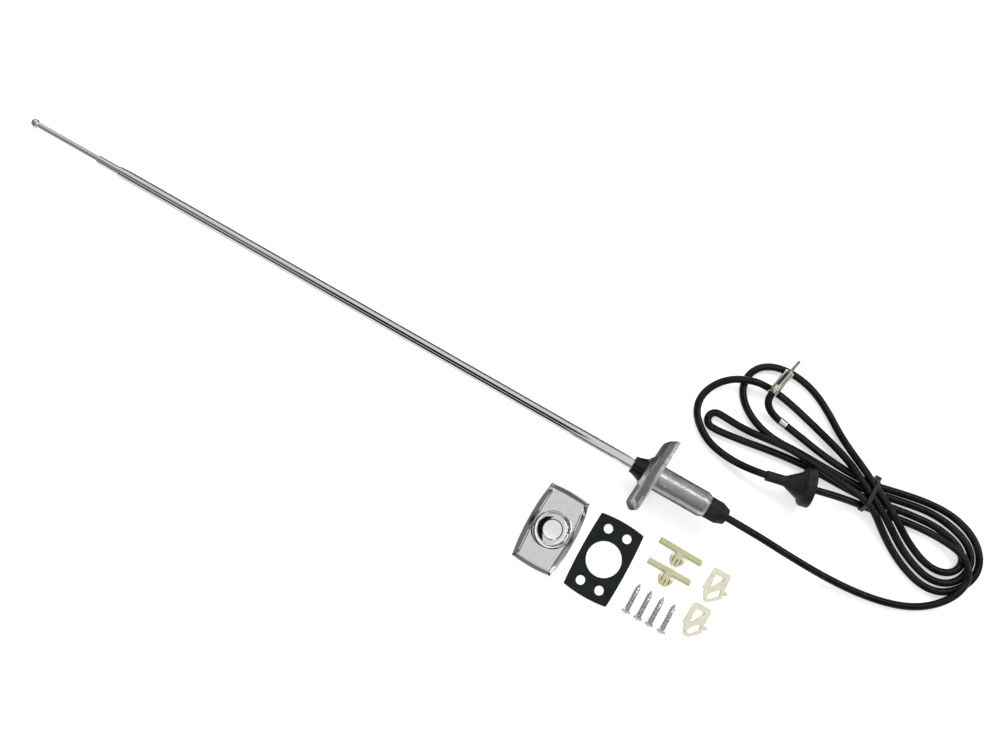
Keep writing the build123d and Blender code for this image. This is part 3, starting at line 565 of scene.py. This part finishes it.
# The cover: a chromed die casting that hides the flange. A flat bevelled rim and a groove run round an arched
# field. A cone in the middle, with a nearly flat top and a hole for the mast, flows into the field.
COVER_X, COVER_Y = 41.2, 77.4
BULGE_X, BULGE_Y = 3.7, 1.4
RIM_SLOPE = 0.9
RIM_BAND = 4.1
GROOVE = 1.5
GROOVE_DEPTH = 0.6
RIM_STEP = 0.2
RIM_LOWEST = 0.6
EDGE_BAND = 0.5
EDGE_DROP = 0.35
CROWN = 0.3
FIELD_TOP = 11.0
FIELD_END = 4.6
CONE_TOP = 15.2
CONE_TOP_R = 14.4
CONE_FOOT_R = 19.2
CONE_FALL = 0.5
HOLE_R = 8.9
HOLE_CHAMFER = 0.8
HOLE_DROPS = (0.6, 1.6)
COVER_FOOT = 0.1
COVER_WALL = 1.3 * MM
cover_low, cover_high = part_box("cover")
cover_at = (cover_low + cover_high) / 2
arch_r = ((COVER_Y / 2) ** 2 + (FIELD_TOP - FIELD_END) ** 2) / (2 * (FIELD_TOP - FIELD_END))


def cover_stations(half):
    """Places across the cover from one edge to the other, close together at the rim and the groove."""
    near = [0, 0.12, 0.3, EDGE_BAND, 1.6, 2.6, 3.5, RIM_BAND - 0.5, RIM_BAND - 0.2]
    near += [RIM_BAND + GROOVE * share for share in (0, 0.15, 0.3, 0.5, 0.7, 0.85, 1)]
    near += [RIM_BAND + GROOVE + 0.25, RIM_BAND + GROOVE + 0.6]
    middle_part = np.linspace(near[-1], 2 * half - near[-1], int((half - near[-1]) / 0.25) | 1)
    return np.concatenate([near[:-1], middle_part, [2 * half - n for n in near[-2::-1]]]) - half


def cover_height(x, y, inset):
    """Height of the cover's outer face at a plan place, given the distance in from its outline."""
    across = max(-COVER_X / 2 + RIM_BAND, min(COVER_X / 2 - RIM_BAND, x))
    along = max(-COVER_Y / 2 + RIM_BAND, min(COVER_Y / 2 - RIM_BAND, y))
    arch = FIELD_TOP - along * along / (2 * arch_r) - CROWN * (across / (COVER_X / 2)) ** 2
    if inset < RIM_BAND:
        bevel = max(RIM_LOWEST, arch - RIM_STEP - RIM_SLOPE * (RIM_BAND - inset))
        return bevel - EDGE_DROP * max(0, 1 - inset / EDGE_BAND) ** 2
    face = arch
    if inset < RIM_BAND + GROOVE:
        share = (inset - RIM_BAND) / GROOVE
        face = arch - RIM_STEP * (1 - share) - GROOVE_DEPTH * (1 - abs(2 * share - 1))
    out = math.hypot(x, y)
    if out < CONE_TOP_R:
        return CONE_TOP - CONE_FALL * max(0, (out - HOLE_R) / (CONE_TOP_R - HOLE_R)) ** 2
    flow = max(0, (CONE_FOOT_R - out) / (CONE_FOOT_R - CONE_TOP_R))
    return face + (CONE_TOP - CONE_FALL - face) * flow ** 2


def grow_border(shape, border, place):
    """Adds a strip of faces from border edges to new places of their vertices, and gives its far edges."""
    starts = [edge.link_loops[0].vert for edge in border]
    pairs = [(edge.other_vert(start), start) for edge, start in zip(border, starts)]
    far = {}
    for vertex in (v for pair in pairs for v in pair):
        if vertex not in far:
            far[vertex] = shape.verts.new(place(vertex.co))
    for a, b in pairs:
        shape.faces.new((a, b, far[b], far[a]))
    return [shape.edges.get((far[a], far[b])) for a, b in pairs]


shape = bmesh.new()
columns = cover_stations(COVER_X / 2)
rows = cover_stations(COVER_Y / 2)
grid = []
for y in rows:
    v = y / (COVER_Y / 2)
    row = []
    for x in columns:
        u = x / (COVER_X / 2)
        px = x + u * BULGE_X * (1 - v * v)
        py = y + v * BULGE_Y * (1 - u * u)
        inset = min(COVER_X / 2 - abs(x), COVER_Y / 2 - abs(y))
        row.append(shape.verts.new((px, py, cover_height(px, py, inset))))
    grid.append(row)
mouth_r = HOLE_R + HOLE_CHAMFER
for first, second in zip(grid, grid[1:]):
    for i in range(len(first) - 1):
        corners = (first[i], first[i + 1], second[i + 1], second[i])
        if sum((c.co.xy.length > mouth_r) for c in corners) > 1:
            shape.faces.new(corners)
bmesh.ops.delete(shape, geom=[v for v in shape.verts if not v.link_faces], context="VERTS")
for edge in [e for e in shape.edges if e.is_boundary]:
    for vertex in edge.verts:
        if vertex.co.xy.length < mouth_r + 1:
            flat = vertex.co.xy.normalized() * mouth_r
            vertex.co = (flat.x, flat.y, CONE_TOP)
outer_edge = [e for e in shape.edges if e.is_boundary and e.verts[0].co.xy.length > mouth_r + 0.1]
border = [e for e in shape.edges if e.is_boundary and e.verts[0].co.xy.length < mouth_r + 0.1]
for drop in HOLE_DROPS:
    border = grow_border(shape, border, lambda at: (*(at.xy.normalized() * HOLE_R), CONE_TOP - drop))
grow_border(shape, outer_edge, lambda at: (at.x, at.y, COVER_FOOT))
bmesh.ops.recalc_face_normals(shape, faces=shape.faces)
shape.transform(Matrix.Translation((cover_at.x, cover_at.y, 0)) @ Matrix.Scale(MM, 4))
mesh = bpy.data.meshes.new("domed_cover")
shape.to_mesh(mesh)
shape.free()
if sum(p.normal.z * p.area for p in mesh.polygons) < 0:
    mesh.flip_normals()
cover = add_piece("domed_cover", mesh, chrome_finish("cover_chrome", (1, 1, 1)))
wall = cover.modifiers.new("wall", "SOLIDIFY")
wall.thickness = COVER_WALL
wall.offset = -1
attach(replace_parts(cover, "cover"), "base")

# The gasket: punched from black rubber sheet, with slightly bowed ends, a large hole for the shank and four
# holes for the screws. It seals the flange to the bodywork.
GASKET_HALF_X, GASKET_HALF_Y = 22.6, 37.4
GASKET_BOW_X, GASKET_BOW_Y = 1.4, 2.0
END_SHARE, SIDE_SHARE, BOW_STEPS = 0.97, 0.985, 15
GASKET_THICK = 1.5
GASKET_EDGE = 0.12
SHANK_HOLE_R = 17.1
SCREW_HOLE_R = 4.5
SCREW_PITCH_X, SCREW_PITCH_Y = 10.0, 27.2


def ring_of(x, y, radius, steps=48):
    """A round hole's outline."""
    turns = [2 * math.pi * i / steps for i in range(steps)]
    return [(x + radius * math.cos(t), y + radius * math.sin(t)) for t in turns]


def flat_piece(name, loops, thickness, edge):
    """A flat piece standing on z = 0 from its outline and its holes, in millimetres, with rounded edges."""
    flat = bpy.data.curves.new(name, "CURVE")
    flat.dimensions = "2D"
    flat.fill_mode = "BOTH"
    flat.extrude = thickness / 2 - edge
    flat.bevel_depth = edge
    flat.bevel_resolution = 2
    flat.offset = -edge
    for loop in loops:
        part = flat.splines.new("POLY")
        part.points.add(len(loop) - 1)
        for point, (x, y) in zip(part.points, loop):
            point.co = (x, y, 0, 1)
        part.use_cyclic_u = True
    holder = bpy.data.objects.new(name, flat)
    bpy.context.scene.collection.objects.link(holder)
    mesh = bpy.data.meshes.new_from_object(holder.evaluated_get(bpy.context.evaluated_depsgraph_get()))
    bpy.data.objects.remove(holder)
    bpy.data.curves.remove(flat)
    mesh.transform(Matrix.Translation((0, 0, thickness / 2)))
    shape = bmesh.new()
    shape.from_mesh(mesh)
    bmesh.ops.remove_doubles(shape, verts=shape.verts, dist=0.001)
    bmesh.ops.recalc_face_normals(shape, faces=shape.faces)
    shape.to_mesh(mesh)
    shape.free()
    return mesh


end_run, side_run = (np.linspace(share, -share, BOW_STEPS) for share in (END_SHARE, SIDE_SHARE))
end_bow = [(GASKET_HALF_X * u, GASKET_HALF_Y + GASKET_BOW_Y * (1 - u * u)) for u in end_run]
side_bow = [(-GASKET_HALF_X - GASKET_BOW_X * (1 - v * v), GASKET_HALF_Y * v) for v in side_run]
outline = end_bow + side_bow + [(-x, -y) for x, y in end_bow + side_bow]
holes = [ring_of(0, 0, SHANK_HOLE_R, 96)]
for x in (-SCREW_PITCH_X, SCREW_PITCH_X):
    holes += [ring_of(x, y, SCREW_HOLE_R) for y in (-SCREW_PITCH_Y, SCREW_PITCH_Y)]
mesh = flat_piece("sheet_gasket", [outline] + holes, GASKET_THICK, GASKET_EDGE)
mesh.transform(Matrix.Translation(datum + Vector((GASKET_X, GASKET_Y, 0))) @ Matrix.Scale(MM, 4))
gasket = add_piece("sheet_gasket", mesh,
                   rubber_finish("gasket_rubber", (0.007, 0.009, 0.010, 1), (0.013, 0.016, 0.018, 1), 0.5))
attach(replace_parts(gasket, "gasket"), "base")

# The fixing screws: zinc-plated steel with countersunk heads and a cross recess, cut with a thread from head
# to point. Each lies on the rim of its head and the end of its thread.
SCREW_PLACES = ((38.1, -122.3, 1.0), (50.9, -122.4, 0.6), (62.8, -122.3, 1.9), (75.8, -122.4, 1.0))
HEAD_R = 5.0
HEAD_RIM = 1.4
SCREW_R = 2.4
POINT_R = 0.5
THREAD_START = 4.6
THREAD_END = 25.8
POINT_END = 29.8
THREAD_PITCH = 1.6
RIDGE_R = 0.42
plated, shader, wire = new_finish("plated_steel", metal=1.0)
plate_cloud = grain(wire, 2.5 * MM, detail=4.0)
plate = two_tone(wire, plate_cloud, (0.72, 0.72, 0.71, 1), (0.54, 0.54, 0.54, 1))
feed(wire, shader.inputs["Base Color"], plate)
feed(wire, shader.inputs["Roughness"], span(wire, plate_cloud, 0.3, 0.7, 0.14, 0.26))
dip = math.asin((HEAD_R - SCREW_R) / math.hypot(THREAD_END - HEAD_RIM, HEAD_R - SCREW_R))
thread = bpy.data.node_groups.new("screw_threads", "GeometryNodeTree")
thread.interface.new_socket("Screws", in_out="INPUT", socket_type="NodeSocketGeometry")
size_sockets = {}
for name, value in (
        ("Radius", SCREW_R * MM), ("Pitch", THREAD_PITCH * MM),
        ("Straight", (THREAD_END - THREAD_START) * MM), ("Point", (POINT_END - THREAD_END) * MM),
        ("Start", THREAD_START * MM)):
    size_sockets[name] = thread.interface.new_socket(name, in_out="INPUT", socket_type="NodeSocketFloat")
    size_sockets[name].default_value = value
thread.interface.new_socket("Threads", in_out="OUTPUT", socket_type="NodeSocketGeometry")


def tree_node(tree, kind, settings, inputs):
    """A node of a geometry tree, with its settings and the values or links of its sockets."""
    made = tree.nodes.new(kind)
    for name, value in settings.items():
        setattr(made, name, value)
    for name, value in inputs.items():
        if isinstance(value, bpy.types.NodeSocket):
            tree.links.new(value, made.inputs[name])
        else:
            made.inputs[name].default_value = value
    return made.outputs


sizes = tree_node(thread, "NodeGroupInput", {}, {})
ridge = tree_node(thread, "GeometryNodeCurvePrimitiveCircle", {"mode": "RADIUS"}, {
    "Resolution": 4, "Radius": RIDGE_R * MM})
turns, point_turns = (
    tree_node(thread, "ShaderNodeMath", {"operation": "DIVIDE"}, {0: sizes[run], 1: sizes["Pitch"]})
    for run in ("Straight", "Point"))
straight = tree_node(thread, "GeometryNodeCurveSpiral", {}, {
    "Resolution": 24, "Rotations": turns[0], "Start Radius": sizes["Radius"], "End Radius": sizes["Radius"],
    "Height": sizes["Straight"]})
taper = tree_node(thread, "GeometryNodeCurveSpiral", {}, {
    "Resolution": 24, "Rotations": point_turns[0], "Start Radius": sizes["Radius"],
    "End Radius": POINT_R * MM, "Height": sizes["Point"]})
lift = tree_node(thread, "ShaderNodeCombineXYZ", {}, {"Z": sizes["Start"]})
far = tree_node(thread, "ShaderNodeMath", {"operation": "ADD"}, {0: sizes["Start"], 1: sizes["Straight"]})
far_lift = tree_node(thread, "ShaderNodeCombineXYZ", {}, {"Z": far[0]})
low_run = tree_node(thread, "GeometryNodeTransform", {}, {"Geometry": straight[0], "Translation": lift[0]})
high_run = tree_node(thread, "GeometryNodeTransform", {}, {"Geometry": taper[0], "Translation": far_lift[0]})
both = thread.nodes.new("GeometryNodeJoinGeometry")
thread.links.new(high_run[0], both.inputs[0])
thread.links.new(low_run[0], both.inputs[0])
wound = tree_node(thread, "GeometryNodeCurveToMesh", {}, {
    "Curve": both.outputs[0], "Profile Curve": ridge[0], "Fill Caps": True})
way = tree_node(thread, "GeometryNodeInputNamedAttribute", {"data_type": "FLOAT_VECTOR"}, {"Name": "lie"})
points = tree_node(thread, "GeometryNodeMeshToPoints", {}, {"Mesh": sizes["Screws"]})
copies = tree_node(thread, "GeometryNodeInstanceOnPoints", {}, {
    "Points": points[0], "Instance": wound[0], "Rotation": way["Attribute"]})
real = tree_node(thread, "GeometryNodeRealizeInstances", {}, {"Geometry": copies[0]})
finished = tree_node(thread, "GeometryNodeSetMaterial", {}, {"Geometry": real[0], "Material": plated})
tree_node(thread, "NodeGroupOutput", {}, {"Threads": finished[0]})

seeds = bpy.data.meshes.new("screw_places")
screw_frames = []
for x, y, turn in SCREW_PLACES:
    across = math.radians(turn)
    screw_way = Vector((math.sin(across) * math.cos(dip), math.cos(across) * math.cos(dip), -math.sin(dip)))
    height = HEAD_R * math.cos(dip) + HEAD_RIM * math.sin(dip)
    screw_frames.append(placement(datum + Vector((x, y, height)) * MM, screw_way, Vector((0, 0, 1))))
seeds.from_pydata([tuple(f.translation) for f in screw_frames], [], [])
lies = seeds.attributes.new("lie", "FLOAT_VECTOR", "POINT")
for item, f in zip(lies.data, screw_frames):
    item.vector = f.to_euler()
holder = bpy.data.objects.new("screw_places", seeds)
bpy.context.scene.collection.objects.link(holder)
winding = holder.modifiers.new("threads", "NODES")
winding.node_group = thread
for name, socket in size_sockets.items():
    winding[socket.identifier] = socket.default_value
mesh = bpy.data.meshes.new_from_object(holder.evaluated_get(bpy.context.evaluated_depsgraph_get()))
bpy.data.objects.remove(holder)
threads = add_piece("screw_threads", mesh, plated)
screws = cad_copy("fixing_screws", plated, "screw_bodies")
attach(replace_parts(screws, "fixing_screws"), "base")
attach(threads, "base")

# The push retainers: cream plastic mouldings, a bar to lie across the back of a hole and a split stud with
# two springy wings that snaps into it.
RETAINER_EDGE = 0.35 * MM


def let_light_in(finish, weight, reach):
    """Lets light a little way into a plastic, by colour, the reach in millimetres."""
    shader = finish.node_tree.nodes["Principled BSDF"]
    shader.inputs["Subsurface Weight"].default_value = weight
    shader.inputs["Subsurface Radius"].default_value = [r * MM for r in reach]
    shader.inputs["Subsurface Scale"].default_value = 1.0


retainer_finish = moulded_finish("cream_plastic", (0.60, 0.59, 0.36, 1), (0.53, 0.52, 0.30, 1), 0.4)
let_light_in(retainer_finish, 0.25, (1.2, 1.0, 0.5))
retainers = cad_copy("push_retainers", retainer_finish, "split_retainers", RETAINER_EDGE)
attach(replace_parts(retainers, "push_retainers"), "base")

# The cable clips: pale plastic mouldings that hold the lead to the bodywork. Each has a three-cornered eye
# and an oblong loop that latches over a nub.
CLIP_EDGE = 0.5 * MM
clip_finish = moulded_finish("pale_plastic", (0.77, 0.75, 0.61, 1), (0.70, 0.68, 0.53, 1), 0.38)
let_light_in(clip_finish, 0.3, (1.4, 1.2, 0.7))
clips = cad_copy("cable_clips", clip_finish, "latched_clips", CLIP_EDGE)
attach(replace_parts(clips, "cable_clips"), "base")

# The stage: a white board that ends just past the mast's tip, so that the drawn-out mast clears it, a white
# world, soft lamps, and cards that only reflections see, as a studio's diffuser, walls and flags.
BOARD_PAST_TIP = 12 * MM
BOARD_REACH = 6
BOARD_SEEN, BOARD_REFLECTED = 0.5, 0.2
WORLD_LIGHT = 0.45
LEFT, RIGHT, NEAR, FAR = -2.5, 2.5, -2.4, 2.5
CEILING, FLAGS_AT, ON_BOARD = 1.5, 1.45, 0.0001
board_edge = ball_low.x - BOARD_PAST_TIP


def background_rays(wire, to_camera, to_others):
    """A strength for the camera's rays, and another for those that are reflected or let through."""
    kinds = [wire.node("ShaderNodeLightPath", {}, {}, kind)
             for kind in ("Is Camera Ray", "Is Glossy Ray", "Is Transmission Ray")]
    return to_camera * kinds[0] + to_others * wire.maths("MINIMUM", kinds[1] + kinds[2], 1.0)


white, shader, wire = new_finish("white_board")
shader.inputs["Roughness"].default_value = 0.9
shader.inputs["Specular IOR Level"].default_value = 0.1
paper = grain(wire, 30 * MM)
feed(wire, shader.inputs["Base Color"], two_tone(wire, paper, (0.9, 0.9, 0.9, 1), (0.92, 0.92, 0.92, 1)))
glow = wire.node("ShaderNodeEmission", {}, {
    "Color": (1, 1, 1, 1), "Strength": background_rays(wire, BOARD_SEEN, BOARD_REFLECTED)})
output = wire.tree.nodes["Material Output"]
lit = wire.node("ShaderNodeAddShader", {}, {0: Wire(wire.tree, shader.outputs[0]), 1: glow})
feed(wire, output.inputs["Surface"], lit)
board_mesh = bpy.data.meshes.new("white_board")
board_mesh.from_pydata([
    (board_edge, -BOARD_REACH, 0), (BOARD_REACH, -BOARD_REACH, 0), (BOARD_REACH, BOARD_REACH, 0),
    (board_edge, BOARD_REACH, 0)], [], [(0, 1, 2, 3)])
board_mesh.materials.append(white)
board = bpy.data.objects.new("white_board", board_mesh)
bpy.context.scene.collection.objects.link(board)

world = bpy.data.worlds.new("white_world")
world.use_nodes = True
bpy.context.scene.world = world
wire = Wire(world.node_tree)
backdrop = world.node_tree.nodes["Background"]
backdrop.inputs["Color"].default_value = (1, 1, 1, 1)
feed(wire, backdrop.inputs["Strength"], WORLD_LIGHT + background_rays(wire, 1 - WORLD_LIGHT, 1 - WORLD_LIGHT))


def softbox(name, place, size_x, size_y, power):
    """A rectangular lamp that faces the origin; reflections see the cards in its stead."""
    lamp = bpy.data.lights.new(name, "AREA")
    lamp.shape = "RECTANGLE"
    lamp.size, lamp.size_y = size_x, size_y
    lamp.energy = power
    box = bpy.data.objects.new(name, lamp)
    bpy.context.scene.collection.objects.link(box)
    box.matrix_world = placement(Vector(place), Vector(place), Vector((0, 0, 1)))
    box.visible_glossy = False


softbox("key_softbox", (0.0, 1.3, 1.35), 2.6, 0.9, 30)
softbox("fill_softbox", (-0.4, -1.6, 1.2), 1.6, 0.8, 12)


def card(name, corners, grey, far_grey=None, fade=None):
    """A flat card that only reflections see. Its corners are in metres from the datum; its grey may fade."""
    tone = bpy.data.materials.new(name)
    tone.use_nodes = True
    wire = Wire(tone.node_tree)
    if fade:
        place = wire.node("ShaderNodeTexCoord", {}, {}, "Object")
        along = wire.node("ShaderNodeSeparateXYZ", {}, {"Vector": place}, "X")
        grey = span(wire, along, datum.x + fade[0], datum.x + fade[1], grey, far_grey)
    glow = wire.node("ShaderNodeEmission", {}, {"Color": (1, 1, 1, 1), "Strength": grey})
    feed(wire, tone.node_tree.nodes["Material Output"].inputs["Surface"], glow)
    mesh = bpy.data.meshes.new(name)
    mesh.from_pydata([datum + Vector(corner) for corner in corners], [], [(0, 1, 2, 3)])
    mesh.materials.append(tone)
    sheet = bpy.data.objects.new(name, mesh)
    bpy.context.scene.collection.objects.link(sheet)
    sheet.visible_camera = False
    sheet.visible_diffuse = False
    sheet.visible_shadow = False
    sheet.visible_transmission = False


def level_card(name, x, y, z, *greys):
    """A card lying level at a height."""
    card(name, [(x[0], y[0], z), (x[1], y[0], z), (x[1], y[1], z), (x[0], y[1], z)], *greys)


def wall_card(name, x, y, z, *greys):
    """An upright card over a run in plan, between two heights."""
    card(name, [(x[0], y[0], z[0]), (x[1], y[1], z[0]), (x[1], y[1], z[1]), (x[0], y[0], z[1])], *greys)


level_card("overhead_diffuser", (LEFT, 0.35), (NEAR, FAR), CEILING, 0.74)
for side, x, y, skirting_top, flag_top, skirting_grey, flag_grey in (
        ("near", (LEFT, RIGHT), (NEAR, NEAR), 0.62, CEILING, 0.2, 0.015),
        ("far", (LEFT, RIGHT), (FAR, FAR), 0.45, 0.95, 0.14, 0.03),
        ("left", (LEFT, LEFT), (NEAR, FAR), 0.9, CEILING, 0.19, 0.015),
        ("right", (RIGHT, RIGHT), (NEAR, FAR), 0.35, 0.9, 0.35, 0.03)):
    wall_card(side + "_skirting", x, y, (0, skirting_top), skirting_grey)
    wall_card(side + "_flag", x, y, (skirting_top, flag_top), flag_grey)
# The cards on the board beside the mast and under the shank are painted light that only reflections see. The
# dark one on the mast's far side is painted shadow of the mast on the board, and the one under the shank is
# painted shade. The pale one on the mast's near side is a painted reflection of the lit board at a set grey.
MAST_RUN = (-0.68, -0.02)
level_card("mast_painted_shadow", MAST_RUN, (0.022, 0.3), ON_BOARD, 0.03)
level_card("mast_painted_reflection", MAST_RUN, (-0.05, 0.003), ON_BOARD, 0.7)
level_card("shank_painted_shade", (-0.02, 0.08), (-0.05, 0.05), ON_BOARD, 0.1)
OVER_MAST = (LEFT, -0.01)
TIP_FADE = (0.17, 0.006, (-0.9, -0.65))
level_card("overhead_flag", OVER_MAST, (-0.88, 0.247), FLAGS_AT, *TIP_FADE)
level_card("overhead_near_flag", OVER_MAST, (NEAR, -1.28), FLAGS_AT, *TIP_FADE)
OVER_CABLE = (0.72, RIGHT)
level_card("cable_flag", OVER_CABLE, (NEAR, 0.95), FLAGS_AT, 0.12)
# A bright card that lights nothing and glows only in reflections: a painted highlight along the cable's
# strands.
level_card("cable_highlight_strip", OVER_CABLE, (0.95, 1.15), FLAGS_AT, 9.0)
level_card("cable_far_flag", OVER_CABLE, (1.15, FAR), FLAGS_AT, 0.12)

# The camera: nearly overhead, turned so that the mast runs from the upper left of the picture to the lower
# right. It looks at a plan place in millimetres from the datum.
LOOKED_AT = (-172.4, 13.2, 0)
ELEVATION = math.radians(82)
ROLL = math.radians(29.9125)
DISTANCE = 1.045
PHOTO_WIDTH, FOCAL_PIXELS = 1000, 1100
looked_at = datum + Vector(LOOKED_AT) * MM
forward = Vector((0, math.cos(ELEVATION), -math.sin(ELEVATION)))
level, rise = Vector((1, 0, 0)), Vector((0, math.sin(ELEVATION), math.cos(ELEVATION)))
right = level * math.cos(ROLL) + rise * math.sin(ROLL)
above = rise * math.cos(ROLL) - level * math.sin(ROLL)
lens = bpy.data.cameras.new("photo_camera")
lens.sensor_width = 36
lens.lens = FOCAL_PIXELS * lens.sensor_width / PHOTO_WIDTH
lens.clip_start, lens.clip_end = 0.01, 50
camera = bpy.data.objects.new("photo_camera", lens)
bpy.context.scene.collection.objects.link(camera)
pose = Matrix((right, above, -forward)).transposed().to_4x4()
pose.translation = looked_at - forward * DISTANCE
camera.matrix_world = pose
bpy.context.scene.camera = camera
bpy.context.scene.view_settings.view_transform = "Standard"
